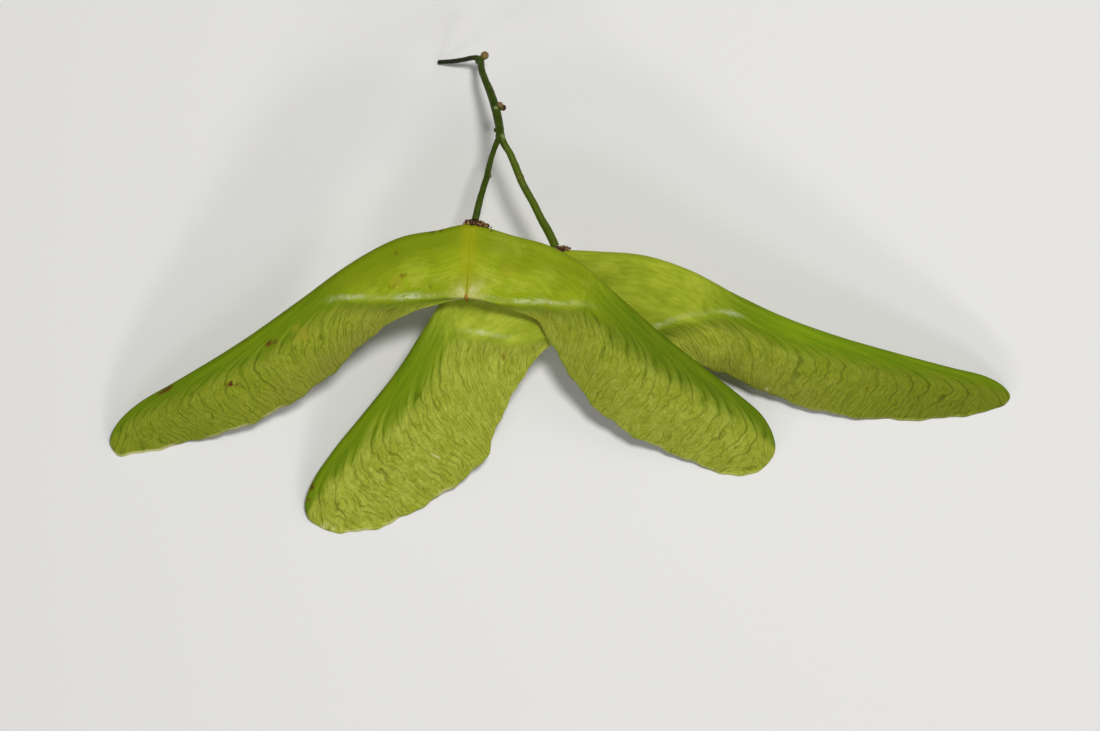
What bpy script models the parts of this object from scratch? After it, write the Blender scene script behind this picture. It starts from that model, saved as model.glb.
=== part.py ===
# Two double maple keys on one forked stalk, picked green and lying on a table.
# Each key is two winged halves that meet along a seam. All sizes here are in
# millimetres, +Z up, with the table at Z = 0, and the meshes are scaled to
# metres as they are made.

import math

import bmesh
import bpy
import numpy as np
from mathutils import Matrix, Vector

MM = 0.001

# Driving sizes of every winged half
BLADE_HALF = 0.3          # half the thickness of the papery blade
NUTLET_SWELL = 0.95       # how far the seed case stands above the blade, each side
NUTLET_END = 0.38         # share of the half's length that the seed case takes
NUTLET_ROOM = 0.97        # share of the seam's height that the seed case fills
CORD_WIDTH = 0.22         # the thick upper edge beyond the seed case, share of the width
CAMBER = 0.7              # how far the blade arches between its two edges
VEIN_RISE = 0.13          # height of the raised veins
VEIN_SWEEP = 0.17         # how far a vein runs outward on its way across the blade
SEAM_GAP = 0.15           # each half stops this far short of the seam line
COLUMNS = 52              # lines from the upper to the lower edge: every other is a vein
ROWS = (0, 0.025, 0.08, 0.17, 0.30, 0.43, 0.56, 0.68, 0.79, 0.88, 0.95, 1)

# Driving sizes of the stalk and the small dry pieces
STALK_SIDES = 9
JOIN_GAP = 0.12           # clearance where one piece stands on another
COLLAR_THICK = 0.5        # the dry collar between a pedicel's end and the seam
COLLAR_DEEP = 0.85        # its half width, across the key
COLLAR_LOBES = 9
STYLE_LENGTH = 0.6
STYLE_RADIUS = 0.22

# Each key's seam, and where its collar and its pedicel stand beside the seam's top
SEAMS = {
    "front": {"top": (-9.6, 7.2, 18.0), "foot": (-10.1, -0.8, 16.4),
              "collar": 0.6, "collar_half": 1.35, "pedicel": 0.45},
    "back": {"top": (0.2, 4.5, 12.0), "foot": (2.2, -4.6, 9.6),
             "collar": 0.1, "collar_half": 1.1, "pedicel": -0.6},
}

# Where each half's edges run between its seam and its tip. The upper edge is the thick one.
HALVES = {
    "front_left_half": {
        "upper": [(-11.3, 6.95, 18.1), (-12.9, 6.55, 18.1), (-17.2, 5.7, 17.9), (-22.6, 2.9, 16.6),
                  (-28.1, -0.9, 14.2), (-34.9, -5.5, 11.0), (-41.7, -9.5, 7.6),
                  (-46.7, -12.3, 4.6), (-49.3, -14.7, 2.3)],
        "tip": (-50.0, -16.6, 0.6),
        "lower": [(-13.2, -1.4, 15.3), (-16.3, -2.3, 13.6), (-20.7, -4.9, 10.6),
                  (-25.2, -9.0, 7.6), (-29.8, -12.2, 5.2), (-35.5, -14.9, 2.9),
                  (-41.1, -16.4, 0.8), (-46.6, -17.7, -0.5), (-49.2, -18.0, -0.2)],
        "wave": 0.4,
    },
    "front_right_half": {
        "upper": [(-7.6, 6.7, 18.1), (-5.4, 6.0, 18.2), (-1.3, 4.8, 18.0), (2.4, 2.8, 17.0),
                  (6.2, -0.4, 15.2), (10.8, -4.4, 12.7), (15.3, -7.9, 10.0),
                  (19.5, -11.1, 7.2), (22.4, -13.6, 4.8), (23.7, -16.0, 2.8)],
        "tip": (23.8, -17.6, 1.2),
        "lower": [(-7.6, -1.4, 15.6), (-4.9, -2.1, 14.2), (-2.4, -3.2, 12.6),
                  (-1.2, -5.2, 11.0), (0.6, -8.2, 9.2), (3.5, -12.2, 6.8), (7.7, -15.5, 4.2),
                  (12.9, -17.9, 1.6), (17.0, -19.6, 0.1), (20.6, -20.3, -0.5),
                  (22.8, -19.2, 0.1)],
        "wave": 2.1,
    },
    "back_left_half": {
        "upper": [(-2.4, 4.1, 12.4), (-6.0, 3.3, 12.7), (-9.6, 1.6, 12.6),
                  (-12.5, -0.6, 12.0), (-14.7, -3.8, 11.0), (-17.7, -8.4, 9.3),
                  (-21.3, -12.9, 7.3), (-24.9, -17.2, 4.8), (-27.4, -20.8, 2.7),
                  (-28.3, -23.3, 1.4)],
        "tip": (-27.9, -25.1, 0.4),
        "lower": [(-0.9, -5.7, 8.8), (-3.3, -8.1, 7.5), (-5.3, -11.4, 5.9),
                  (-6.5, -13.7, 4.9), (-7.5, -16.2, 3.9), (-8.2, -18.2, 3.0),
                  (-11.4, -21.1, 1.6), (-15.6, -23.8, 0.4), (-19.5, -25.8, -0.4),
                  (-23.4, -26.6, -0.5), (-26.2, -26.2, -0.2)],
        "wave": 3.7,
    },
    "back_right_half": {
        "upper": [(4.3, 4.35, 12.2), (9.2, 3.9, 12.1), (14.1, 2.3, 11.6),
                  (19.1, -0.3, 10.9), (24.6, -2.8, 9.9), (30.7, -4.9, 8.4), (36.8, -6.6, 6.8),
                  (43.0, -8.2, 4.8), (47.1, -9.2, 3.2), (49.2, -10.3, 2.0)],
        "tip": (50.1, -11.5, 0.8),
        "lower": [(5.2, -5.2, 8.5), (8.8, -6.0, 7.3), (13.2, -7.0, 5.8),
                  (17.1, -8.5, 4.7), (21.6, -10.4, 3.4), (26.6, -12.4, 2.0), (31.7, -13.6, 0.9),
                  (36.8, -14.0, 0.0), (42.3, -13.9, -0.4), (47.4, -13.1, -0.4),
                  (49.3, -12.5, 0.1)],
        "wave": 5.2,
    },
}

# The stalk's branches: points along each, and the radius at each point. The pedicels'
# last points are worked out from the collars that they stand on.
STALK_HEAD = (-8.8, 25.8, 4.9)
FORK = (-6.5, 16.9, 12.6)
PEDUNCLE = ([STALK_HEAD, (-8.6, 24.5, 6.4), (-8.2, 23.3, 7.6), (-7.7, 22.1, 8.7),
             (-7.0, 19.9, 10.6), (-6.6, 17.9, 12.0), FORK],
            [0.40, 0.38, 0.40, 0.45, 0.50, 0.47, 0.48])
STUB = ([STALK_HEAD, (-9.4, 26.0, 4.4), (-10.5, 25.9, 3.2), (-11.7, 25.8, 1.9), (-13.5, 25.8, 0.15)],
        [0.36, 0.30, 0.27, 0.27, 0.27])
PEDICELS = {
    "front": ([FORK, (-6.9, 16.1, 13.3), (-7.25, 15.1, 14.0), (-7.7, 13.4, 15.3), (-7.9, 12.3, 16.1),
               (-8.3, 11.0, 16.8), (-8.75, 9.3, 17.6)],
              [0.40, 0.33, 0.30, 0.32, 0.36, 0.35, 0.37, 0.40]),
    "back": ([FORK, (-6.0, 15.9, 12.8), (-5.5, 15.1, 12.9), (-4.8, 13.5, 13.1), (-4.2, 12.0, 13.2),
              (-3.8, 11.2, 13.2), (-2.9, 9.6, 13.0), (-2.0, 7.8, 12.7), (-1.3, 6.6, 12.4)],
             [0.44, 0.38, 0.38, 0.40, 0.43, 0.42, 0.42, 0.43, 0.45, 0.48]),
}
KNOB = ((-8.3, 26.25, 5.0), 0.52)     # the swollen end where the stalk left its twig
SCARS = [                             # scars of fallen flowers: place and radius
    ((-6.55, 20.6, 10.2), 0.36),
    ((-6.35, 20.1, 10.4), 0.36),
    ((-6.95, 17.6, 12.2), 0.28),
]

SKIN_COLOURS = {          # linear base colour, roughness
    "wing": ((0.27, 0.36, 0.03), 0.45),
    "stalk": ((0.08, 0.15, 0.012), 0.5),
    "calyx": ((0.10, 0.045, 0.02), 0.8),
}


def material(name):
    colour, roughness = SKIN_COLOURS[name]
    made = bpy.data.materials.get(name) or bpy.data.materials.new(name)
    made.use_nodes = True
    shader = made.node_tree.nodes["Principled BSDF"]
    shader.inputs["Base Color"].default_value = (*colour, 1)
    shader.inputs["Roughness"].default_value = roughness
    shader.inputs["Metallic"].default_value = 0
    return made


def ease(low, high, value):
    """0 below low, 1 above high, and a smooth rise between."""
    x = np.clip((np.asarray(value, float) - low) / (high - low), 0, 1)
    return x * x * (3 - 2 * x)


def smooth_line(points, before, after, steps=24):
    """A smooth curve through the points, with before and after setting its ends' directions."""
    p = np.array([before, *points, after], float)
    line = []
    for a, b, c, d in zip(p, p[1:], p[2:], p[3:]):
        # knots by the square root of the distance, which keeps tight bends from looping
        t1 = math.sqrt(np.linalg.norm(b - a))
        t2 = t1 + math.sqrt(np.linalg.norm(c - b))
        t3 = t2 + math.sqrt(np.linalg.norm(d - c))
        t = np.linspace(t1, t2, steps, endpoint=False)[:, None]
        ab = (t1 - t) / t1 * a + t / t1 * b
        bc = (t2 - t) / (t2 - t1) * b + (t - t1) / (t2 - t1) * c
        cd = (t3 - t) / (t3 - t2) * c + (t - t2) / (t3 - t2) * d
        abc = (t2 - t) / t2 * ab + t / t2 * bc
        bcd = (t3 - t) / (t3 - t1) * bc + (t - t1) / (t3 - t1) * cd
        line.append((t2 - t) / (t2 - t1) * abc + (t - t1) / (t2 - t1) * bcd)
    return np.vstack([*line, p[-2]])


def at_share(line, share):
    """The points at these shares of the line's length."""
    steps = np.linalg.norm(np.diff(line, axis=0), axis=1)
    along = np.concatenate([[0], np.cumsum(steps)]) / steps.sum()
    return np.stack([np.interp(share, along, line[:, k]) for k in range(3)], axis=-1)


def edges(pair, side):
    """A half's upper and lower edges as smooth lines from the seam to the tip.

    They are one curve that rounds the tip, and that runs on into the twin half at the seam."""
    half = HALVES[f"{pair}_{side}_half"]
    twin = HALVES[f"{pair}_{'right' if side == 'left' else 'left'}_half"]
    seam = SEAMS[pair]
    outline = [seam["top"], *half["upper"], half["tip"], *reversed(half["lower"]), seam["foot"]]
    line = smooth_line(outline, twin["upper"][0], twin["lower"][0])
    at_tip = int(np.argmin(np.linalg.norm(line - np.array(half["tip"]), axis=1)))
    return line[: at_tip + 1], line[at_tip:][::-1]


def middle(upper, lower, wave, s, t):
    """Points halfway through the thickness, s along the half and t from the upper to the lower edge."""
    top = at_share(upper, s)
    foot = at_share(lower, s)
    wing = ease(0.10, 0.25, s) * (1 - ease(0.93, 1.0, s))
    ragged = 0.16 * np.sin(2 * math.pi * 8.3 * s + wave) + 0.09 * np.sin(2 * math.pi * 21 * s + 2 * wave)
    across = foot - top
    reach = 1 + (ragged * wing * t / np.maximum(np.linalg.norm(across, axis=-1), 1))
    points = top + across * (t * reach)[..., None]
    ripple = 0.22 * np.sin(2 * math.pi * 4.6 * s + 1.7 * wave) * t * t
    arch = CAMBER * 4 * t * (1 - t)
    points[..., 2] += (arch + ripple) * ease(0.2, 0.5, s) * (1 - ease(0.85, 1.0, s))
    return points


def half_thickness(s, t):
    """The seed case, the thick upper edge that runs on from it, and the thin blade."""
    to_end = np.clip(s / NUTLET_END, 0, 1)
    room = CORD_WIDTH + (NUTLET_ROOM - CORD_WIDTH) * (1 - to_end**1.8)
    room = room * (1 - 0.3 * ease(0.5, 1.0, s))
    swell = NUTLET_SWELL * (
        0.82 + 0.18 * ease(0, 0.10, s) - 0.55 * ease(0.20, 0.45, s) - 0.38 * ease(0.45, 1.0, s)
    )
    q = t / room
    rise = np.sqrt(1 - (1 - np.clip(q / 0.32, 0, 1)) ** 2)
    slope = 0.16 + 0.40 * ease(0.26, 0.46, s)
    fall = 1 - ease(1.0 - slope, 1.0 + slope, q)
    return BLADE_HALF + swell * rise * fall, room


def winged_half(pair, side):
    """One seed case with its wing, as a closed shell whose columns follow the veins."""
    name = f"{pair}_{side}_half"
    upper, lower = edges(pair, side)
    length = np.linalg.norm(np.diff(upper, axis=0), axis=1).sum()
    start, end = SEAM_GAP / length, 1 - 0.35 / length
    even = np.linspace(0, 1, COLUMNS + 1)
    column = start + (end - start) * (even + 0.035 * np.sin(2 * math.pi * even))
    sweep = VEIN_SWEEP * ease(0.12, 0.42, column) * (1 - ease(0.66, 1.0, column))
    t = np.array(ROWS)[None, :] * np.ones((COLUMNS + 1, 1))
    bend = 1.1 * t**0.6 - 0.1 * t**3
    s = column[:, None] + sweep[:, None] * bend
    wave = HALVES[name]["wave"]
    points = middle(upper, lower, wave, s, t)

    small = 0.004
    along = middle(upper, lower, wave, np.minimum(s + small, 1), t)
    along -= middle(upper, lower, wave, np.maximum(s - small, 0), t)
    across = middle(upper, lower, wave, s, np.minimum(t + small, 1))
    across -= middle(upper, lower, wave, s, np.maximum(t - small, 0))
    normal = np.cross(along, across)
    normal /= np.linalg.norm(normal, axis=-1)[..., None]
    normal *= np.sign(normal[..., 2:])

    thick, room = half_thickness(s, t)
    veins = np.zeros(COLUMNS + 1)
    veins[1::2] = VEIN_RISE
    on_blade = ease(room * 0.85, room * 0.85 + 0.15, t) * (1 - ease(0.90, 1.0, t))
    thick = thick + veins[:, None] * on_blade * ease(0.05, 0.2, s)

    above = points + normal * thick[..., None]
    below = points - normal * thick[..., None]
    lift = np.maximum(-below[..., 2], 0)
    above[..., 2] += lift
    below[..., 2] += lift
    return shell(name, above, below)


def shell(name, above, below):
    """Closes two matching grids of points into one body, with the same diagonals on both faces."""
    columns, rows = above.shape[:2]
    points = np.concatenate([above.reshape(-1, 3), below.reshape(-1, 3)])
    under = columns * rows

    def place(i, j):
        return i * rows + j

    faces = []
    for i in range(columns - 1):
        for j in range(rows - 1):
            a, b, c, d = place(i, j), place(i + 1, j), place(i + 1, j + 1), place(i, j + 1)
            faces += [(a, b, c), (a, c, d)]
            faces += [(under + c, under + b, under + a), (under + d, under + c, under + a)]
    rim = [place(i, 0) for i in range(columns)]
    rim += [place(columns - 1, j) for j in range(1, rows)]
    rim += [place(i, rows - 1) for i in range(columns - 2, -1, -1)]
    rim += [place(0, j) for j in range(rows - 2, 0, -1)]
    for a, b in zip(rim, rim[1:] + rim[:1]):
        faces += [(a, under + a, b), (b, under + a, under + b)]
    return body(name, points, faces, "wing")


def body(name, points, faces, skin):
    """A mesh object from points in millimetres, with its faces turned outwards."""
    mesh = bpy.data.meshes.new(name)
    mesh.from_pydata([tuple(p) for p in np.asarray(points, float)], [], faces)
    made = bmesh.new()
    made.from_mesh(mesh)
    bmesh.ops.recalc_face_normals(made, faces=made.faces)
    made.to_mesh(mesh)
    made.free()
    mesh.shade_smooth()
    made = bpy.data.objects.new(name, mesh)
    bpy.context.scene.collection.objects.link(made)
    mesh.materials.append(material(skin))
    return made


def tube(name, points, radii, skin):
    """A round branch along a smooth line through the points, with closed ends, not below the table."""
    first, last = np.array(points[0]), np.array(points[-1])
    line = smooth_line(
        points, 2 * first - np.array(points[1]), 2 * last - np.array(points[-2]), steps=2
    )
    thick = np.interp(
        np.arange(len(line)) / (len(line) - 1), np.linspace(0, 1, len(radii)), radii
    )
    forward = np.gradient(line, axis=0)
    side = np.array([1.0, 0.0, 0.0])
    rings = []
    for place, ahead, radius in zip(line, forward, thick):
        ahead = ahead / np.linalg.norm(ahead)
        side = side - ahead * (side @ ahead)
        side /= np.linalg.norm(side)
        other = np.cross(ahead, side)
        turn = 2 * math.pi * np.arange(STALK_SIDES) / STALK_SIDES
        rings.append(
            place + radius * (np.cos(turn)[:, None] * side + np.sin(turn)[:, None] * other)
        )
    faces = []
    for ring in range(len(rings) - 1):
        for k in range(STALK_SIDES):
            a = ring * STALK_SIDES + k
            b = ring * STALK_SIDES + (k + 1) % STALK_SIDES
            faces.append((a, b, b + STALK_SIDES, a + STALK_SIDES))
    faces.append(tuple(range(STALK_SIDES)))
    faces.append(tuple(range((len(rings) - 1) * STALK_SIDES, len(rings) * STALK_SIDES)))
    points = np.vstack(rings)
    points[:, 2] = np.maximum(points[:, 2], 0)
    return body(name, points, faces, skin)


def ball(name, place, radius, skin):
    """A round swelling of the stalk."""
    mesh = bpy.data.meshes.new(name)
    made = bmesh.new()
    bmesh.ops.create_icosphere(
        made, subdivisions=2, radius=radius, matrix=Matrix.Translation(Vector(place))
    )
    made.to_mesh(mesh)
    made.free()
    mesh.shade_smooth()
    made = bpy.data.objects.new(name, mesh)
    bpy.context.scene.collection.objects.link(made)
    mesh.materials.append(material(skin))
    return made


def join(whole, pieces):
    """Unites the pieces with the first in one body, and removes their own objects."""
    for piece in pieces:
        union = whole.modifiers.new("union", "BOOLEAN")
        union.operation = "UNION"
        union.solver = "EXACT"
        union.object = piece
        bpy.context.view_layer.objects.active = whole
        bpy.ops.object.modifier_apply(modifier=union.name)
        bpy.data.objects.remove(piece)


def collar_place(pair):
    """The seam's top, three unit directions there, and the height of the upper edges along one.

    The directions are up the seam, beside it along the key, and across the key's thickness."""
    seam = SEAMS[pair]
    top = np.array(seam["top"])
    up = top - np.array(seam["foot"])
    up /= np.linalg.norm(up)
    beside = np.array([1.0, 0.0, 0.0])
    beside -= up * (beside @ up)
    beside /= np.linalg.norm(beside)
    rim = np.vstack([edges(pair, "left")[0][::-1], edges(pair, "right")[0]]) - top
    along, height = rim @ beside, rim @ up
    near = np.abs(along) < 4

    def edge_height(offset):
        return np.interp(offset, along[near], height[near])

    return top, up, beside, np.cross(up, beside), edge_height


def stalk():
    """The main stalk, its fork, the bent stub and the scars of flowers that fell."""
    whole = tube("stalk", *PEDUNCLE, "stalk")
    pieces = [tube("stub", *STUB, "stalk")]
    for pair, (points, radii) in PEDICELS.items():
        top, up, beside, _, edge_height = collar_place(pair)
        offset = SEAMS[pair]["pedicel"]
        end = top + beside * offset + up * (edge_height(offset) + COLLAR_THICK + 2 * JOIN_GAP)
        before = end + up * 0.5
        pieces.append(tube(f"{pair}_pedicel", [*points, before, end], radii, "stalk"))
    pieces.append(ball("fork", FORK, 0.54, "stalk"))
    pieces.append(ball("knob", *KNOB, "stalk"))
    for number, (place, radius) in enumerate(SCARS):
        pieces.append(ball(f"scar_{number}", place, radius, "stalk"))
    join(whole, pieces)
    return whole


def collar(pair):
    """The dry lumpy collar between the pedicel's end and the halves, whose edges it follows."""
    top, up, beside, across, edge_height = collar_place(pair)
    centre, half = SEAMS[pair]["collar"], SEAMS[pair]["collar_half"]
    sides = COLLAR_LOBES * 4
    turn = 2 * math.pi * np.arange(sides) / sides
    rings = []
    for share, spread in ((0.0, 0.72), (0.35, 1.0), (0.75, 0.94), (1.0, 0.6)):
        lobe = 1 + 0.10 * np.sin(COLLAR_LOBES * turn) * (0 < share < 1)
        offset = centre + half * spread * lobe * np.cos(turn)
        rise = edge_height(offset) + JOIN_GAP + share * COLLAR_THICK
        depth = COLLAR_DEEP * spread * lobe * np.sin(turn)
        rings.append(top + rise[:, None] * up + offset[:, None] * beside + depth[:, None] * across)
    middles = []
    for share in (0, 1):
        rise = edge_height(centre) + JOIN_GAP + share * COLLAR_THICK
        middles.append(top + rise * up + centre * beside)
    faces = []
    for level in range(len(rings) - 1):
        for k in range(sides):
            a = level * sides + k
            b = level * sides + (k + 1) % sides
            faces += [(a, b, b + sides), (a, b + sides, a + sides)]
    last = (len(rings) - 1) * sides
    for k in range(sides):
        after = (k + 1) % sides
        faces.append((after, k, len(rings) * sides))
        faces.append((last + k, last + after, len(rings) * sides + 1))
    return body(f"{pair}_calyx", np.vstack([*rings, *middles]), faces, "calyx")


def style(pair):
    """The withered stump of the style in the notch at the seam's foot."""
    foot = np.array(SEAMS[pair]["foot"])
    down = foot - np.array(SEAMS[pair]["top"])
    down /= np.linalg.norm(down)
    root = foot + down * JOIN_GAP
    path = [root, root + down * 0.5 * STYLE_LENGTH, root + down * STYLE_LENGTH]
    radii = [STYLE_RADIUS, 0.85 * STYLE_RADIUS, 0.35 * STYLE_RADIUS]
    return tube(f"{pair}_style", path, radii, "calyx")


def main():
    for old in list(bpy.data.objects):
        bpy.data.objects.remove(old)
    stalk()
    for pair in SEAMS:
        for side in ("left", "right"):
            winged_half(pair, side)
        collar(pair)
        style(pair)
    for made in bpy.data.objects:
        made.data.transform(Matrix.Scale(MM, 4))


main()
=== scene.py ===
# Two double maple keys on one forked stalk, picked green and laid on a pale table.
# The pieces are shaped in millimetres and brought to metres when each is finished.
import math
from types import SimpleNamespace

import bpy
import numpy as np
from mathutils import Matrix, Vector


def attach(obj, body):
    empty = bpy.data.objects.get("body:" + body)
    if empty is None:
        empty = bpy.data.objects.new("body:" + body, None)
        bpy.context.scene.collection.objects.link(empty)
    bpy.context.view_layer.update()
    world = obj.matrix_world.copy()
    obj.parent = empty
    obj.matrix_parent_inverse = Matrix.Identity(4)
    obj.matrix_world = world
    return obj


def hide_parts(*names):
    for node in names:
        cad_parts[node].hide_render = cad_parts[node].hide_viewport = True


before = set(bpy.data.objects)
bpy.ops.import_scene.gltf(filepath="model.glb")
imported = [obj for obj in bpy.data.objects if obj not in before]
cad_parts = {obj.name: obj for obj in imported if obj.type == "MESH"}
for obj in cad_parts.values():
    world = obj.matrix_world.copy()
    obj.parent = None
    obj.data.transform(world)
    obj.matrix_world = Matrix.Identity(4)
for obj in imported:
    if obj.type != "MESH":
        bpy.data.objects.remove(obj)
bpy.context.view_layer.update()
print("frame loaded,", len(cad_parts), "nodes")

mm = 0.001


# Curves and noise

def ease(low, high, value):
    x = np.clip((np.asarray(value, float) - low) / (high - low), 0, 1)
    return x * x * (3 - 2 * x)


def bump(centre, width, value):
    return np.exp(-(((value - centre) / width) ** 2))


def smoothLine(points, before, after, steps=24):
    # through the points, with before and after setting the ends' directions
    p = np.array([before, *points, after], float)
    line = []
    for a, b, c, d in zip(p, p[1:], p[2:], p[3:]):
        t1 = math.sqrt(np.linalg.norm(b - a))
        t2 = t1 + math.sqrt(np.linalg.norm(c - b))
        t3 = t2 + math.sqrt(np.linalg.norm(d - c))
        t = np.linspace(t1, t2, steps, endpoint=False)[:, None]
        ab = (t1 - t) / t1 * a + t / t1 * b
        bc = (t2 - t) / (t2 - t1) * b + (t - t1) / (t2 - t1) * c
        cd = (t3 - t) / (t3 - t2) * c + (t - t2) / (t3 - t2) * d
        abc = (t2 - t) / t2 * ab + t / t2 * bc
        bcd = (t3 - t) / (t3 - t1) * bc + (t - t1) / (t3 - t1) * cd
        line.append((t2 - t) / (t2 - t1) * abc + (t - t1) / (t2 - t1) * bcd)
    return np.vstack([*line, p[-2]])


def atShare(line, share):
    steps = np.linalg.norm(np.diff(line, axis=0), axis=1)
    along = np.concatenate([[0], np.cumsum(steps)]) / steps.sum()
    return np.stack([np.interp(share, along, line[:, k]) for k in range(3)], axis=-1)


def softNoise(x, y, size, seed):
    # smooth random hills between -1 and 1, about size across
    table = np.random.default_rng(seed).uniform(-1, 1, (97, 89))
    gx, gy = x / size + 1000.5, y / size + 1000.5
    ix, iy = np.floor(gx).astype(int), np.floor(gy).astype(int)
    fx, fy = gx - ix, gy - iy
    fx, fy = fx * fx * (3 - 2 * fx), fy * fy * (3 - 2 * fy)
    a, b = table[ix % 97, iy % 89], table[(ix + 1) % 97, iy % 89]
    c, d = table[ix % 97, (iy + 1) % 89], table[(ix + 1) % 97, (iy + 1) % 89]
    return (a * (1 - fx) + b * fx) * (1 - fy) + (c * (1 - fx) + d * fx) * fy


# Materials

def newMaterial(name):
    material = bpy.data.materials.new(name)
    material.use_nodes = True
    tree = material.node_tree
    return material, tree, tree.nodes["Principled BSDF"]


def plug(tree, socket, value):
    if isinstance(value, bpy.types.NodeSocket):
        tree.links.new(value, socket)
    elif isinstance(value, tuple) and len(value) == 3 and len(socket.default_value) == 4:
        socket.default_value = (*value, 1)
    else:
        socket.default_value = value


def mixColour(tree, share, first, second, mode="MIX"):
    node = tree.nodes.new("ShaderNodeMix")
    node.data_type = "RGBA"
    node.blend_type = mode
    plug(tree, node.inputs[0], share)
    plug(tree, node.inputs[6], first)
    plug(tree, node.inputs[7], second)
    return node.outputs[2]


def mathOf(tree, operation, *values, clamp=False):
    node = tree.nodes.new("ShaderNodeMath")
    node.operation = operation
    node.use_clamp = clamp
    for socket, value in zip(node.inputs, values):
        plug(tree, socket, value)
    return node.outputs[0]


def attributeOf(tree, name, output="Fac"):
    node = tree.nodes.new("ShaderNodeAttribute")
    node.attribute_name = name
    return node.outputs[output]


def noiseOf(tree, place, scale, detail=3, roughness=0.55, stretch=(1, 1, 1)):
    mapping = tree.nodes.new("ShaderNodeMapping")
    mapping.inputs["Scale"].default_value = stretch
    tree.links.new(place, mapping.inputs["Vector"])
    node = tree.nodes.new("ShaderNodeTexNoise")
    node.inputs["Scale"].default_value = scale
    node.inputs["Detail"].default_value = detail
    node.inputs["Roughness"].default_value = roughness
    tree.links.new(mapping.outputs["Vector"], node.inputs["Vector"])
    return node.outputs["Fac"]


def cellsOf(tree, place, scale, stretch):
    # how far it is to the edge of each cell of an uneven net
    mapping = tree.nodes.new("ShaderNodeMapping")
    mapping.inputs["Scale"].default_value = stretch
    tree.links.new(place, mapping.inputs["Vector"])
    cells = tree.nodes.new("ShaderNodeTexVoronoi")
    cells.feature = "DISTANCE_TO_EDGE"
    cells.inputs["Scale"].default_value = scale
    tree.links.new(mapping.outputs["Vector"], cells.inputs["Vector"])
    return cells.outputs["Distance"]


def rampOf(tree, value, low, high, fromValue=0.0, toValue=1.0):
    node = tree.nodes.new("ShaderNodeMapRange")
    node.interpolation_type = "SMOOTHSTEP"
    plug(tree, node.inputs["Value"], value)
    node.inputs["From Min"].default_value = low
    node.inputs["From Max"].default_value = high
    node.inputs["To Min"].default_value = fromValue
    node.inputs["To Max"].default_value = toValue
    return node.outputs["Result"]


def bumpOf(tree, height, strength, distance):
    node = tree.nodes.new("ShaderNodeBump")
    node.inputs["Strength"].default_value = strength
    node.inputs["Distance"].default_value = distance
    tree.links.new(height, node.inputs["Height"])
    return node.outputs["Normal"]


skin = {
    "blade": (0.233, 0.292, 0.005), "bladePale": (0.430, 0.470, 0.060),
    "vein": (0.080, 0.115, 0.002), "band": (0.110, 0.190, 0.002),
    "nutlet": (0.285, 0.362, 0.006), "nutletDark": (0.165, 0.225, 0.002),
    "nutletPale": (0.412, 0.470, 0.046), "seamTint": (0.310, 0.315, 0.004),
    "marginTint": (0.275, 0.262, 0.040), "pale": (0.600, 0.565, 0.250),
    # the pale crest tone is the colour of a painted highlight
    "paintedCrestHighlight": (0.600, 0.640, 0.380), "bruise": (0.335, 0.300, 0.022), "brown": (0.105, 0.019, 0.005),
    "roughness": (0.68, 0.82), "specular": 0.09, "coatRoughness": 0.22,
    "bumpStrength": 0.5, "bumpHeight": 0.035,
    "puffedLines": 0.18, "blisterLines": 0.15, "marginShare": 0.8,
    "veinShare": 0.80, "twigShare": 0.30, "paintedCrestHighlightShare": 0.50,
    "casePatches": [        # pattern, where it starts and is full, its share, its colour
        ("streaks", 0.60, 0.36, 0.28, "nutletDark"),
        ("patches", 0.48, 0.34, 0.42, "nutletDark"),
        ("patches", 0.54, 0.70, 0.62, "nutletPale"),
        ("fine", 0.52, 0.70, 0.22, "nutletPale"),
        ("hairs", 0.52, 0.34, 0.30, "nutletDark"),
        ("hairs", 0.52, 0.70, 0.26, "nutletPale"),
    ],
}


def times(tree, first, second, clamp=False):
    return mathOf(tree, "MULTIPLY", first, second, clamp=clamp)


def glossOf(tree, noise):
    # the glossy crest line just inside the shoulder, broken up by the noises; it sets the coat's
    # gloss and also a painted highlight laid into the colour
    fromCrest = mathOf(tree, "ADD", attributeOf(tree, "ridge"),
                       rampOf(tree, noise["streaks"], 0.3, 0.7, 0.20, 0.50))
    fromCrest = mathOf(tree, "ABSOLUTE", fromCrest)
    gloss = times(tree, rampOf(tree, fromCrest, 0.62, 0.0), attributeOf(tree, "crest"))
    gloss = times(tree, gloss, rampOf(tree, noise["fine"], 0.38, 0.60, 0.45, 1.0))
    return times(tree, gloss, rampOf(tree, noise["mottle"], 0.38, 0.58, 0.55, 1.0), clamp=True)


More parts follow.
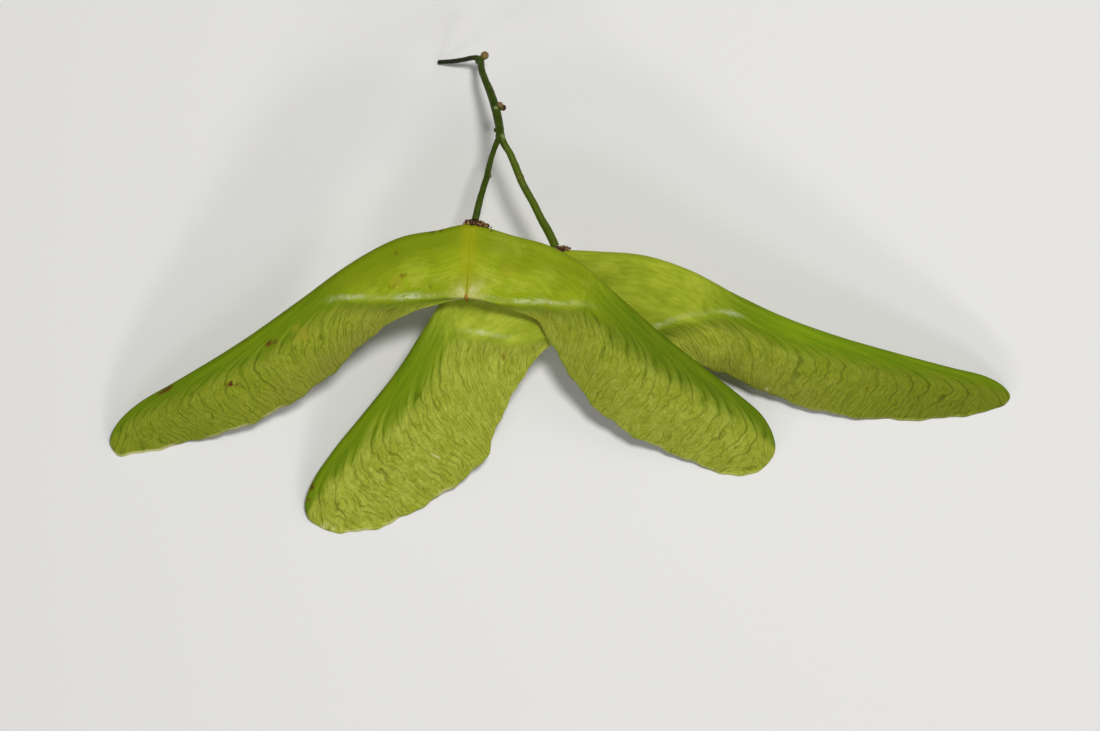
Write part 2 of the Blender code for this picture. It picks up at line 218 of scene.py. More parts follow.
def wingSkin():
    material, tree, shader = newMaterial("green wing skin")
    grain = attributeOf(tree, "grain", "Vector")         # millimetres along and across
    blade, milk = attributeOf(tree, "blade"), attributeOf(tree, "milk")
    noise = {
        "mottle": noiseOf(tree, grain, 0.8, 4, 0.6),
        "fine": noiseOf(tree, grain, 4.5, 3, 0.6),
        "streaks": noiseOf(tree, grain, 1.0, 4, 0.6, (0.35, 1.1, 1)),
        "patches": noiseOf(tree, grain, 0.42, 3, 0.55, (0.6, 1.1, 1)),
        "hairs": noiseOf(tree, grain, 2.6, 3, 0.6, (0.22, 1.6, 1)),
    }
    puffed = rampOf(tree, cellsOf(tree, grain, 3.0, (1, 0.8, 1)), 0.0, 0.14)
    blisters = rampOf(tree, cellsOf(tree, grain, 1.5, (1, 0.6, 1)), 0.0, 0.20)

    # the papery blade, mottled between its veins
    mottled = times(tree, rampOf(tree, noise["mottle"], 0.35, 0.68, 0.28, 0.74), milk, clamp=True)
    colour = mixColour(tree, mottled, skin["blade"], skin["bladePale"])
    specks = times(tree, rampOf(tree, noise["fine"], 0.45, 0.65, 0, 0.30), milk)
    colour = mixColour(tree, specks, colour, skin["bladePale"])
    tint = times(tree, attributeOf(tree, "tint"), skin["marginShare"])
    colour = mixColour(tree, tint, colour, skin["marginTint"])
    for net, share in ((puffed, skin["puffedLines"]), (blisters, skin["blisterLines"])):
        lines = mathOf(tree, "SUBTRACT", 1.0, net)
        colour = mixColour(tree, times(tree, lines, share), colour, skin["vein"])

    # the green band on the thick edge, and the seed case
    band = mathOf(tree, "SUBTRACT", 1.0, blade, clamp=True)
    paler = rampOf(tree, noise["streaks"], 0.3, 0.75, 0, 0.5)
    colour = mixColour(tree, band, colour, mixColour(tree, paler, skin["band"], skin["blade"]))
    case = mixColour(tree, attributeOf(tree, "glow"), skin["nutlet"], skin["nutletPale"])
    for pattern, start, full, share, tone in skin["casePatches"]:
        share = rampOf(tree, noise[pattern], start, full, 0, share)
        case = mixColour(tree, share, case, skin[tone])
    # darker along the thick edge: partly the skin's own darker green, partly painted shade, with
    # random darker mottle
    case = mixColour(tree, attributeOf(tree, "paintedShadeAndMottle"), case, skin["nutletDark"])
    case = mixColour(tree, attributeOf(tree, "seam"), case, skin["seamTint"])
    colour = mixColour(tree, attributeOf(tree, "nutlet"), colour, case)

    # veins, the fine net, the pale rim and threads, the painted highlight along the crest, and the
    # brown marks
    for lines, share in (("vein", skin["veinShare"]), ("net", skin["twigShare"])):
        colour = mixColour(tree, times(tree, attributeOf(tree, lines), share), colour, skin["vein"])
    for stain in ("bruise", "pale"):
        colour = mixColour(tree, attributeOf(tree, stain), colour, skin[stain])
    gloss = glossOf(tree, noise)
    # painted highlight: the crest's gloss is also laid into the colour as a pale streak
    paintedCrestHighlight = times(tree, mathOf(tree, "POWER", gloss, 1.3), skin["paintedCrestHighlightShare"])
    colour = mixColour(tree, paintedCrestHighlight, colour, skin["paintedCrestHighlight"])
    colour = mixColour(tree, attributeOf(tree, "mark"), colour, skin["brown"])
    # darker or brighter by each point's tone and its painted light
    colour = mixColour(tree, 1.0, colour, attributeOf(tree, "toneAndPaintedLight"), "MULTIPLY")
    plug(tree, shader.inputs["Base Color"], colour)

    roughness = rampOf(tree, noise["fine"], 0.3, 0.7, *skin["roughness"])
    plug(tree, shader.inputs["Roughness"], roughness)
    shader.inputs["Specular IOR Level"].default_value = skin["specular"]
    plug(tree, shader.inputs["Coat Weight"], gloss)
    shader.inputs["Coat Roughness"].default_value = skin["coatRoughness"]

    crinkle = mathOf(tree, "ADD", times(tree, puffed, 0.7), times(tree, blisters, 1.0))
    height = mathOf(tree, "ADD", times(tree, crinkle, blade), times(tree, noise["fine"], 0.9))
    relief = bumpOf(tree, height, skin["bumpStrength"], skin["bumpHeight"] * mm)
    plug(tree, shader.inputs["Normal"], relief)
    return material


# The winged halves

# the top and foot of each seam, and where the crust and the pedicel sit on its top
seams = {
    "front": {"top": (-9.6, 7.2, 18.0), "foot": (-10.1, -0.8, 16.4),
              "collar": 0.6, "collarHalf": 1.35, "pedicel": 0.45},
    "back": {"top": (0.2, 4.5, 12.0), "foot": (2.2, -4.6, 9.6),
             "collar": -0.2, "collarHalf": 1.2, "pedicel": -0.6},
}

# upper, tip and lower: the thick edge, the end and the thin edge, outwards from the seam
# wave and shoulder: the margin's phase and how far the shoulder is moved
# glow, the thick edge's darkening (partly painted shade), brownish, rim, folds: the shares of each
# tone and of the folds between veins
# how dark the skin is, and milk: at the seam and at the tip; band: the green band's width and tone
# crest: the gloss and the painted highlight at shares of the length; mark, bruise, fleck and pool:
# x, y, radius, share
# scratch: from, to and half width; the painted light over a shadowed patch: x, y, radius and how
# much brighter
halves = {
    "front_left_half": {
        "upper": [(-11.3, 6.95, 18.1), (-12.9, 6.55, 18.1), (-17.2, 5.7, 17.9), (-22.6, 2.9, 16.6),
                  (-28.1, -0.9, 14.2), (-34.9, -5.5, 11.0), (-41.7, -9.5, 7.6),
                  (-46.7, -12.3, 4.6), (-49.3, -14.7, 2.3)],
        "tip": (-50.0, -16.6, 0.6),
        "lower": [(-13.2, -1.4, 15.3), (-16.3, -2.3, 13.6), (-20.7, -4.9, 10.6),
                  (-25.2, -9.0, 7.6), (-29.8, -12.2, 5.2), (-35.5, -14.9, 2.9),
                  (-41.1, -16.4, 0.8), (-46.6, -17.7, -0.5), (-49.2, -18.0, -0.2)],
        "wave": 0.4, "seed": 11, "glow": 0.0, "paintedShadeAndMottle": 0.95, "brownish": 0.9,
        "toneAndPaintedLight": (0.97, 0.89), "shoulder": -0.05, "rim": 1.0, "folds": 0.15,
        "band": (0.18, 1.08), "milk": (0.7, 0.45),
        "crest": [(0, 0.1), (0.06, 0.4), (0.10, 1.2), (0.14, 1.1), (0.18, 0.5), (0.25, 0.4),
                  (0.29, 0.8), (0.33, 0.6), (0.36, 0)],
        "mark": [(-43.3, -10.65, 0.45, 1.0), (-42.8, -10.4, 0.32, 1.0), (-43.9, -11.0, 0.34, 0.9),
                 (-36.1, -10.0, 0.46, 1.0), (-35.4, -10.1, 0.24, 0.7), (-31.7, -5.6, 0.46, 1.0),
                 (-31.0, -5.4, 0.30, 0.9), (-31.9, -5.2, 0.2, 0.7), (-30.0, -3.6, 0.22, 0.7),
                 (-30.0, -4.3, 0.15, 0.5), (-34.3, -5.3, 0.3, 0.7), (-17.0, 1.7, 0.34, 0.6),
                 (-16.6, 1.8, 0.25, 0.5), (-18.5, 0.5, 0.3, 0.45), (-18.0, 0.5, 0.3, 0.4),
                 (-17.6, 4.1, 0.3, 0.4), (-14.0, 0.4, 0.2, 0.45), (-12.8, 6.6, 0.45, 0.6),
                 (-13.7, 6.4, 0.45, 0.6)],
        "fleck": [(-10.75, 0.05, 0.7, 0.35)],
        "pool": [(-11.0, 0.9, 2.0, 0.6), (-15.5, 2.6, 2.5, 0.4), (-20.5, 0.2, 1.8, 0.3)],
        "bruise": [(-27.9, -4.7, 1.0, 0.6), (-28.6, -4.0, 0.7, 0.5), (-17.6, 1.2, 0.9, 0.5)],
    },
    "front_right_half": {
        "upper": [(-7.6, 6.7, 18.1), (-5.4, 6.0, 18.2), (-1.3, 4.8, 18.0), (2.4, 2.8, 17.0),
                  (6.2, -0.4, 15.2), (10.8, -4.4, 12.7), (15.3, -7.9, 10.0),
                  (19.5, -11.1, 7.2), (22.4, -13.6, 4.8), (23.7, -16.0, 2.8)],
        "tip": (23.8, -17.6, 1.2),
        "lower": [(-7.6, -1.4, 15.6), (-4.9, -2.1, 14.2), (-2.4, -3.2, 12.6),
                  (-1.2, -5.2, 11.0), (0.6, -8.2, 9.2), (3.5, -12.2, 6.8), (7.7, -15.5, 4.2),
                  (12.9, -17.9, 1.6), (17.0, -19.6, 0.1), (20.6, -20.3, -0.5),
                  (22.8, -19.2, 0.1)],
        "wave": 2.1, "seed": 23, "glow": 0.05, "paintedShadeAndMottle": 0.5, "brownish": 0.25,
        "toneAndPaintedLight": (0.95, 1.0), "shoulder": 0.0, "rim": 0.3, "folds": 0.18,
        "band": (0.20, 0.84), "milk": (0.9, 1.15),
        "crest": [(0, 0.1), (0.045, 0.5), (0.09, 0.45), (0.14, 0.85), (0.20, 0.9), (0.24, 0.6),
                  (0.28, 0.55), (0.36, 0)],
        "mark": [(-3.7, -2.75, 0.34, 0.7), (-3.1, -2.8, 0.24, 0.8), (-2.5, -3.3, 0.3, 0.8),
                 (-2.2, -3.8, 0.34, 0.9), (-7.4, 6.4, 0.16, 0.7)],
        "fleck": [(-9.25, 0.2, 0.8, 0.38), (-8.6, 0.7, 0.6, 0.22)],
        "pool": [(-8.4, 1.0, 2.4, 0.8), (-6.4, 5.3, 2.0, 0.8), (-4.6, 4.4, 1.6, 0.5),
                 (-1.5, 1.6, 2.4, 0.35)],
        "bruise": [(-5.6, 2.2, 1.1, 0.4), (-2.6, -3.3, 0.8, 0.6)],
    },
    "back_left_half": {
        "upper": [(-2.4, 4.1, 12.4), (-6.0, 3.3, 12.7), (-9.6, 1.6, 12.6),
                  (-12.5, -0.6, 12.0), (-14.7, -3.8, 11.0), (-17.7, -8.4, 9.3),
                  (-21.3, -12.9, 7.3), (-24.9, -17.2, 4.8), (-27.4, -20.8, 2.7),
                  (-28.3, -23.3, 1.4)],
        "tip": (-27.9, -25.1, 0.4),
        "lower": [(-0.9, -5.7, 8.8), (-3.3, -8.1, 7.5), (-5.3, -11.4, 5.9),
                  (-6.5, -13.7, 4.9), (-7.5, -16.2, 3.9), (-8.2, -18.2, 3.0),
                  (-11.4, -21.1, 1.6), (-15.6, -23.8, 0.4), (-19.5, -25.8, -0.4),
                  (-23.4, -26.6, -0.5), (-26.2, -26.2, -0.2)],
        "wave": 3.7, "seed": 37, "glow": 0.75, "paintedShadeAndMottle": 0.1, "brownish": 0.15,
        "toneAndPaintedLight": (1.0, 1.0), "shoulder": -0.06, "rim": 0.8, "folds": 0.18,
        "band": (0.12, 1.0), "milk": (1.3, 1.35),
        "crest": [(0.16, 0), (0.20, 0.5), (0.24, 0.95), (0.27, 0.85), (0.30, 0.3), (0.34, 0)],
        "mark": [(-12.5, -6.1, 0.15, 0.4), (-6.3, -6.9, 0.25, 0.6), (-6.1, -7.3, 0.2, 0.6),
                 (-27.4, -21.5, 0.35, 1.0), (-27.9, -22.9, 0.3, 0.5), (-25.0, -17.3, 0.2, 0.5)],
        "bruise": [(-6.2, -7.0, 0.5, 0.7), (-13.7, -18.0, 0.5, 0.4)],
        "fleck": [(-26.3, -25.9, 0.6, 0.6), (-25.2, -26.2, 0.4, 0.5)],
        "scratch": [(-14.1, -17.8, -13.35, -18.2, 0.13)],
    },
    "back_right_half": {
        "upper": [(4.3, 4.35, 12.2), (9.2, 3.9, 12.1), (14.1, 2.3, 11.6),
                  (19.1, -0.3, 10.9), (24.6, -2.8, 9.9), (30.7, -4.9, 8.4), (36.8, -6.6, 6.8),
                  (43.0, -8.2, 4.8), (47.1, -9.2, 3.2), (49.2, -10.3, 2.0)],
        "tip": (50.1, -11.5, 0.8),
        "lower": [(5.2, -5.2, 8.5), (8.8, -6.0, 7.3), (13.2, -7.0, 5.8),
                  (17.1, -8.5, 4.7), (21.6, -10.4, 3.4), (26.6, -12.4, 2.0), (31.7, -13.6, 0.9),
                  (36.8, -14.0, 0.0), (42.3, -13.9, -0.4), (47.4, -13.1, -0.4),
                  (49.3, -12.5, 0.1)],
        "wave": 5.2, "seed": 53, "glow": 0.45, "paintedShadeAndMottle": 0.1, "brownish": 0.7,
        "toneAndPaintedLight": (0.97, 0.70), "shoulder": -0.02, "rim": 0.4, "folds": 0.5,
        "band": (0.22, 1.35), "milk": (1.0, 0.4),
        "crest": [(0.12, 0.2), (0.19, 0.95), (0.22, 0.6), (0.27, 0.25), (0.32, 0.35),
                  (0.355, 1.0), (0.375, 0.4), (0.39, 0)],
        "mark": [(33.9, -10.5, 0.22, 0.7), (36.5, -14.0, 0.25, 0.7), (36.0, -13.9, 0.2, 0.5)],
        "bruise": [(36.4, -13.9, 0.5, 0.6)],
        "fleck": [(22.9, -10.6, 0.35, 0.9)],
        "lift": [(14.6, -5.8, 5.0, 1.32)],
    },
}

wing = {
    "columns": 620, "rows": 66,
    "bladeHalf": 0.17, "rimHalf": 0.08,      # half thicknesses of the blade and its rim
    "swell": 1.00,                           # how far the seed case stands above the blade
    "camber": 0.7,
    "ragged": [(0.14, 8.3, 1), (0.06, 21, 2)],    # the thin edge: height, waves, phase
    "ripple": (0.22, 4.6, 1.7),
    "seamGap": 0.004, "tipGap": 0.30, "seamReach": 2.5,
    "veins": [(1.65, 14, 1.0, 8.0), (0.82, 42, 1.5, 10.5)],    # spacing, forks, their reach
    "veinRise": 0.075, "twigRise": 0.35, "caseHills": 0.080, "caseThreads": 0.010,
    "edgeStrokes": 0.02, "bladeHills": 0.04, "fanRise": 0.04,
    "fanThreads": 17, "fanReach": 1.5, "leastHalf": 0.05,
}

# where the seed case's shoulder, and further out the thick edge, give way to the blade:
# the share of the length, then the share of the width
shoulderLine = smoothLine(
    [(0, 0.955, 0), (0.05, 0.93, 0), (0.10, 0.88, 0), (0.165, 0.755, 0), (0.22, 0.60, 0),
     (0.28, 0.42, 0), (0.33, 0.28, 0), (0.40, 0.20, 0), (0.50, 0.14, 0), (0.65, 0.09, 0),
     (0.85, 0.05, 0), (1.0, 0.04, 0)], (-0.05, 0.96, 0), (1.1, 0.04, 0))


def shoulderAt(s, shift):
    moved = shift * ease(0, 0.08, s) * ease(0.5, 0.35, s)
    return np.interp(s, shoulderLine[:, 0], shoulderLine[:, 1]) + moved


def edgesOf(pair, side):
    half = halves[f"{pair}_{side}_half"]
    twin = halves[f"{pair}_{'right' if side == 'left' else 'left'}_half"]
    seam = seams[pair]
    outline = [seam["top"], *half["upper"], half["tip"], *reversed(half["lower"]), seam["foot"]]
    line = smoothLine(outline, twin["upper"][0], twin["lower"][0])
    atTip = int(np.argmin(np.linalg.norm(line - np.array(half["tip"]), axis=1)))
    return line[: atTip + 1], line[atTip:][::-1]


def middleOf(upper, lower, wave, s, t):
    # halfway through the thickness: s runs from seam to tip, t from thick edge to thin
    top, foot = atShare(upper, s), atShare(lower, s)
    across = foot - top
    wide = np.maximum(np.linalg.norm(across, axis=-1), 1)
    onWing = ease(0.10, 0.25, s) * (1 - ease(0.93, 1.0, s))
    ragged = sum(high * np.sin(2 * math.pi * waves * s + phase * wave)
                 for high, waves, phase in wing["ragged"])
    points = top + across * (t * (1 + ragged * onWing * t / wide))[..., None]
    high, waves, phase = wing["ripple"]
    ripple = high * np.sin(2 * math.pi * waves * s + phase * wave) * t * t
    arch = wing["camber"] * 4 * t * (1 - t)
    points[..., 2] += (arch + ripple) * ease(0.2, 0.5, s) * (1 - ease(0.85, 1.0, s))
    return points


def thicknessOf(s, t, wide, shift):
    # the domed seed case, the thick edge that runs on from it, and the thin blade
    onCase = 1 - ease(0.26, 0.42, s)
    height = 0.80 + 0.20 * ease(0, 0.10, s) - 0.50 * ease(0.2, 0.42, s) - 0.40 * ease(0.42, 1.0, s)
    height = wing["swell"] * height
    top, low, shoulder = t * wide, (1 - t) * wide, shoulderAt(s, shift)
    rounded = np.sqrt(1 - (1 - np.clip(top / 0.8, 0, 1)) ** 2)
    toCrest = np.clip(t / shoulder, 0, 1.05)
    rise = rounded * (1 - onCase * (0.50 - 0.50 * toCrest**0.8))
    rise = rise * np.sqrt(1 - (1 - np.clip(low / 0.4, 0, 1)) ** 2)
    past = (t - shoulder + 0.02 * ease(0.05, 0.15, s)) / (0.07 + 0.22 * ease(0.02, 0.2, s))
    fall = 1 - ease(0, 1, past)
    lip = 0.04 * bump(0.05, 0.42, (t - shoulder) * wide) * onCase * ease(0.02, 0.09, s)
    toEdge = ease(0, 0.4, np.minimum(top, low))
    rim = wing["rimHalf"] + (wing["bladeHalf"] - wing["rimHalf"]) * toEdge
    return rim + height * (rise * fall + lip), onCase, past


def towards(normals):
    # unit length, on the upper side
    return normals * (np.sign(normals[:, 2]) / np.linalg.norm(normals, axis=1))[:, None]


def seamNormal(pair, t):
    # square to the surface all down the seam, the same for the half on either side
    (leftTop, leftLow), (rightTop, rightLow) = edgesOf(pair, "left"), edgesOf(pair, "right")
    atTop, atLow = rightTop[1] - leftTop[1], rightLow[1] - leftLow[1]
    atTop, atLow = atTop / np.linalg.norm(atTop), atLow / np.linalg.norm(atLow)
    beside = atTop * (1 - t)[:, None] + atLow * t[:, None]
    return towards(np.cross(beside, leftLow[0] - leftTop[0]))


def veinSlope(s, t, shift):
    # how far outward a vein runs for each step across: nearly along the thick edge at first,
    # then straight across, then leaning back a little
    past = t - shoulderAt(s, shift)
    slope = np.exp(-np.clip(past / (0.17 - 0.05 * ease(0.3, 0.45, s)), -0.9, 9))
    onWing = ease(0.30, 0.42, s)
    slope = slope * (onWing + (1 - onWing) * ease(0.0, 0.2, past))
    slope = slope - 0.09 * ease(0.25, 0.55, t) * ease(0.38, 0.5, s)
    slope = slope * ease(0.0, 0.15, s) * (1 - ease(0.84, 0.97, s))
    return slope + 0.06 * ease(0.86, 0.94, s) * (1 - ease(0.95, 1.0, s)) * ease(0, 0.3, t)


def veinPaths(columns, shift, steps=240, middle=110):
    # each column's share of the length at each step across, followed both ways from the middle
    table = np.zeros((steps + 1, len(columns)))
    table[middle] = columns
    for way, stop in ((-1, 0), (1, steps)):
        s = columns
        for k in range(middle, stop, way):
            halfway = s + way * 0.5 / steps * veinSlope(s, k / steps, shift)
            s = s + way / steps * veinSlope(halfway, (k + 0.5 * way) / steps, shift)
            table[k + way] = s
    return table


def veinsOf(half, x, y, length):
    # lines of equal phase, bent by soft noise and split where the phase winds round a point:
    # a few bold veins from the thick edge, and finer ones that fill in towards the thin edge
    random = np.random.default_rng(half["seed"])
    seed = half["seed"] * 10
    bent = 0.34 * softNoise(x, y, 2.1, seed) + 0.36 * softNoise(x, y / 1.2, 0.9, seed + 1)
    bent = bent + 0.20 * softNoise(x / 2, y, 0.55, seed + 17)
    phases = []
    for spacing, forks, low, high in wing["veins"]:
        phase = 2 * math.pi * (x + bent) / spacing
        for number in range(forks):
            forkX = (number + random.random()) / forks * length
            forkY = random.uniform(low, high)
            turn = -1 if random.random() < 0.7 else 1
            phase = phase + turn * np.arctan2(y - forkY, x - forkX)
        phases.append(phase)
    bold, fine = phases
    strong = np.clip(0.75 + 0.45 * softNoise(x, y / 2, 1.3, seed + 2), 0.2, 1.1)
    main = ((1 + np.cos(bold)) / 2) ** 26 * strong * (1 - 0.5 * ease(5, 9, y))
    patchy = np.clip(0.6 + 0.6 * softNoise(x, y, 0.9, seed + 18), 0.1, 1)
    filling = (0.45 + 0.55 * ease(2.5, 6, y)) * patchy
    main = np.maximum(main, 0.9 * ((1 + np.cos(fine)) / 2) ** 14 * filling)
    folds = np.cos(fine + 1.2) * filling
    root = ((1 + np.cos(bold)) / 2) ** 3
    twig = fine + math.pi + 2.2 * softNoise(x, y, 0.7, seed + 3)
    second = ((1 + np.cos(twig)) / 2) ** 9 * ease(-0.4, 0.5, softNoise(x, y, 1.1, seed + 4))
    rung = 2 * math.pi * y / 0.6 + 3.5 * softNoise(x, y, 0.6, seed + 5) + 1.3 * fine
    cross = ((1 + np.cos(rung)) / 2) ** 8 * ease(-0.2, 0.5, softNoise(x, y, 0.6, seed + 6))
    return SimpleNamespace(main=main, second=second, cross=cross, root=root, folds=folds)


def addSlab(name, columns, rows):
    # a flat grid one unit square, extruded one unit up: x, y and z then say where each point goes
    bpy.ops.object.select_all(action="DESELECT")
    bpy.ops.mesh.primitive_grid_add(x_subdivisions=columns, y_subdivisions=rows, size=1,
                                    location=(0.5, 0.5, 0))
    piece = bpy.context.object
    piece.name = name
    piece.data.name = name
    bpy.ops.object.transform_apply(location=True, rotation=False, scale=False)
    bpy.ops.object.mode_set(mode="EDIT")
    bpy.ops.mesh.select_all(action="SELECT")
    bpy.ops.mesh.extrude_region_move(TRANSFORM_OT_translate={"value": (0, 0, 1)})
    bpy.ops.object.mode_set(mode="OBJECT")
    return piece


def readPoints(piece):
    points = np.zeros(len(piece.data.vertices) * 3)
    piece.data.vertices.foreach_get("co", points)
    return points.reshape(-1, 3)


def writePoints(piece, points):
    piece.data.vertices.foreach_set("co", np.ascontiguousarray(points, dtype=np.float64).ravel())
    piece.data.update()


def paint(piece, name, values):
    # one value, or three, at each point of the mesh, for the material to read
    values = np.asarray(values, float)
    kind = "FLOAT" if values.ndim == 1 else "FLOAT_VECTOR"
    layer = piece.data.attributes.new(name, kind, "POINT")
    layer.data.foreach_set("value" if values.ndim == 1 else "vector", values.ravel())


def facesOut(piece):
    bpy.ops.object.select_all(action="DESELECT")
    piece.select_set(True)
    bpy.context.view_layer.objects.active = piece
    bpy.ops.object.mode_set(mode="EDIT")
    bpy.ops.mesh.select_all(action="SELECT")
    bpy.ops.mesh.normals_make_consistent(inside=False)
    bpy.ops.object.mode_set(mode="OBJECT")
    bpy.ops.object.shade_smooth()


def keepSeamCrisp(piece, onSeam):
    # the flat wall that meets the other half isn't shaded round into the faces beside it
    ends = np.zeros(len(piece.data.edges) * 2, dtype=np.int32)
    piece.data.edges.foreach_get("vertices", ends)
    crisp = onSeam[ends.reshape(-1, 2)].all(axis=1)
    layer = piece.data.attributes.new("sharp_edge", "BOOLEAN", "EDGE")
    layer.data.foreach_set("value", crisp)


def normalsOf(pair, upper, lower, wave, s, t, length):
    # square to the surface, and the same for both halves where they meet
    step = 0.003
    along = middleOf(upper, lower, wave, np.minimum(s + step, 1), t)
    along -= middleOf(upper, lower, wave, np.maximum(s - step, 0), t)
    across = middleOf(upper, lower, wave, s, np.minimum(t + step, 1))
    across -= middleOf(upper, lower, wave, s, np.maximum(t - step, 0))
    normal = towards(np.cross(along, across))
    shared = seamNormal(pair, t)
    own = ease(0, wing["seamReach"], s * length)[:, None]
    return towards(shared + (normal - shared) * own)


def spotsOf(pair, side, u, v):
    # where each point of the slab lies: shares and millimetres along and across its half
    half = halves[f"{pair}_{side}_half"]
    wave, shift = half["wave"], half["shoulder"]
    upper, lower = edgesOf(pair, side)
    length = np.linalg.norm(np.diff(upper, axis=0), axis=1).sum()
    t = v - 0.07 * np.sin(2 * math.pi * v)
    start, end = wing["seamGap"] / length, 1 - wing["tipGap"] / length
    columns = start + (end - start) * np.linspace(0, 1, wing["columns"] + 1)
    paths = veinPaths(columns, shift)
    at = np.rint(u * wing["columns"]).astype(int)
    row = np.clip(t * (len(paths) - 1), 0, len(paths) - 1.001)
    over = row.astype(int)
    s = paths[over, at] * (1 - row + over) + paths[over + 1, at] * (row - over)
    midway = middleOf(upper, lower, 0, columns, np.full(len(columns), 0.5))
    apart = np.linalg.norm(np.diff(midway, axis=0), axis=1)
    wide = np.linalg.norm(atShare(lower, s) - atShare(upper, s), axis=-1)
    return SimpleNamespace(
        s=s, t=t, x=np.concatenate([[0], np.cumsum(apart)])[at], y=t * wide,
        out=s * length, low=(1 - t) * wide, wide=wide, run=apart.sum(),
        points=middleOf(upper, lower, wave, s, t),
        normal=normalsOf(pair, upper, lower, wave, s, t, length),
        fromShoulder=t - shoulderAt(s, shift),
        toRim=(1 - ease(0.96, 1.0, t)) * (1 - ease(0.985, 1.0, u)),
    )


def zonesOf(half, spot, veins, past):
    # how much of the blade, the seed case, the veins and the seam's threads each point has
    seed, s, x, y = half["seed"] * 10, spot.s, spot.x, spot.y
    feather = 0.07 * softNoise(x, y / 5, 0.9, seed + 15) * ease(0.3, 0.45, s)
    bandWidth = half["band"][0] + 0.12 * ease(0.35, 0.5, s)
    onBlade = ease(0.0, bandWidth, spot.fromShoulder + feather)
    onBlade = onBlade - 0.5 * veins.root * bump(0.42, 0.28, onBlade) * ease(0.28, 0.4, s)
    nutlet = (1 - ease(-0.05, 0.55, past)) * (1 - ease(0.27, 0.42, s + feather))
    veined = ease(0.02, 0.14, spot.fromShoulder) * spot.toRim
    faint = ease(0.25, 0.35, s) * spot.toRim * (1 - veined)
    # the pale threads fan out from the seam's foot
    fromFoot, angle = np.hypot(spot.out, spot.low), np.arctan2(spot.out, spot.low)
    angle = wing["fanThreads"] * angle + 2.5 * softNoise(x, y, 0.9, seed + 10)
    fan = 0.5 + 0.5 * (0.5 + 0.5 * np.cos(angle)) ** 2
    fan = fan * np.exp(-((fromFoot / wing["fanReach"]) ** 2))
    fan = fan * ease(0.15, 0.4, fromFoot) * ease(0.04, 0.25, spot.out)
    return SimpleNamespace(onBlade=onBlade, nutlet=nutlet, veined=veined, faint=faint, fan=fan)


def reliefOf(half, spot, veins, zones):
    seed, x, y, out = half["seed"] * 10, spot.x, spot.y, spot.out
    hills = softNoise(out / 2.4, y, 1.5, seed + 7)
    threads = softNoise(out / 4, y, 0.3, seed + 8)
    strokes = softNoise(x, y / 6, 0.5, seed + 16)
    raised = veins.main + wing["twigRise"] * veins.second + wing["twigRise"] * veins.cross
    raised = raised + half["folds"] * veins.folds - 0.15
    relief = wing["veinRise"] * zones.veined * raised
    onCase = wing["caseHills"] * hills + wing["caseThreads"] * threads
    relief = relief + onCase * zones.nutlet
    relief = relief + wing["edgeStrokes"] * strokes * zones.faint * (1 - zones.nutlet)
    waves = softNoise(x, y, 3.1, seed + 9) * zones.onBlade * spot.toRim
    relief = relief + wing["bladeHills"] * waves
    return relief * ease(0.02, 0.8, out) + wing["fanRise"] * zones.fan


def stainsOf(half, points, onTop, blotch):
    # the marks, bruises, flecks and pools of the upper side, and how soft their edges are
    stains = {}
    for kind, inner, outer in (("mark", 0.35, 0.95), ("bruise", 0.35, 0.95),
                               ("fleck", 0.0, 1.0), ("pool", 0.0, 1.0)):
        stains[kind] = np.zeros(len(points))
        for placeX, placeY, radius, share in half.get(kind, []):
            away = np.hypot(points[:, 0] - placeX, points[:, 1] - placeY) / radius
            laid = share * (1 - ease(inner, outer, away + 0.35 * blotch)) * onTop
            stains[kind] = np.maximum(stains[kind], laid)
    return stains


def scratchOf(half, points, onTop):
    scratch = np.zeros(len(points))
    for fromX, fromY, toX, toY, halfWidth in half.get("scratch", []):
        run = np.array([toX - fromX, toY - fromY])
        fromStart = points[:, :2] - (fromX, fromY)
        share = np.clip((fromStart @ run) / (run @ run), 0, 1)
        away = np.hypot(*(fromStart - share[:, None] * run).T)
        scratch = np.maximum(scratch, ease(halfWidth, 0.4 * halfWidth, away) * onTop)
    return scratch


def toneAndPaintedLightOf(half, spot, zones, points, onTop):
    # how much darker or brighter the skin is, along the half and where its band lies, with painted
    # light over a shadowed patch and just below the crest
    s, near = spot.s, spot.fromShoulder
    toneAndPaintedLight = half["toneAndPaintedLight"][0] + (half["toneAndPaintedLight"][1] - half["toneAndPaintedLight"][0]) * ease(0.3, 0.9, s)
    toneAndPaintedLight = toneAndPaintedLight * (1 + (half["band"][1] - 1) * (1 - zones.onBlade) * ease(0.35, 0.5, s))
    # painted light: brighter over a patch that lies in shadow beside the front pair's edge
    for placeX, placeY, radius, factor in half.get("lift", []):
        away = np.hypot(points[:, 0] - placeX, points[:, 1] - placeY) / radius
        lifted = (1 - ease(0.3, 1.0, away)) * ease(-0.03, 0.06, near) * onTop
        toneAndPaintedLight = toneAndPaintedLight * (1 + (factor - 1) * lifted)
    # painted light: a little brighter just below the crest, where the slope turns from the light
    return toneAndPaintedLight * (1 + 0.1 * bump(0.6, 0.6, near * spot.wide) * (1 - ease(0.28, 0.38, s)))


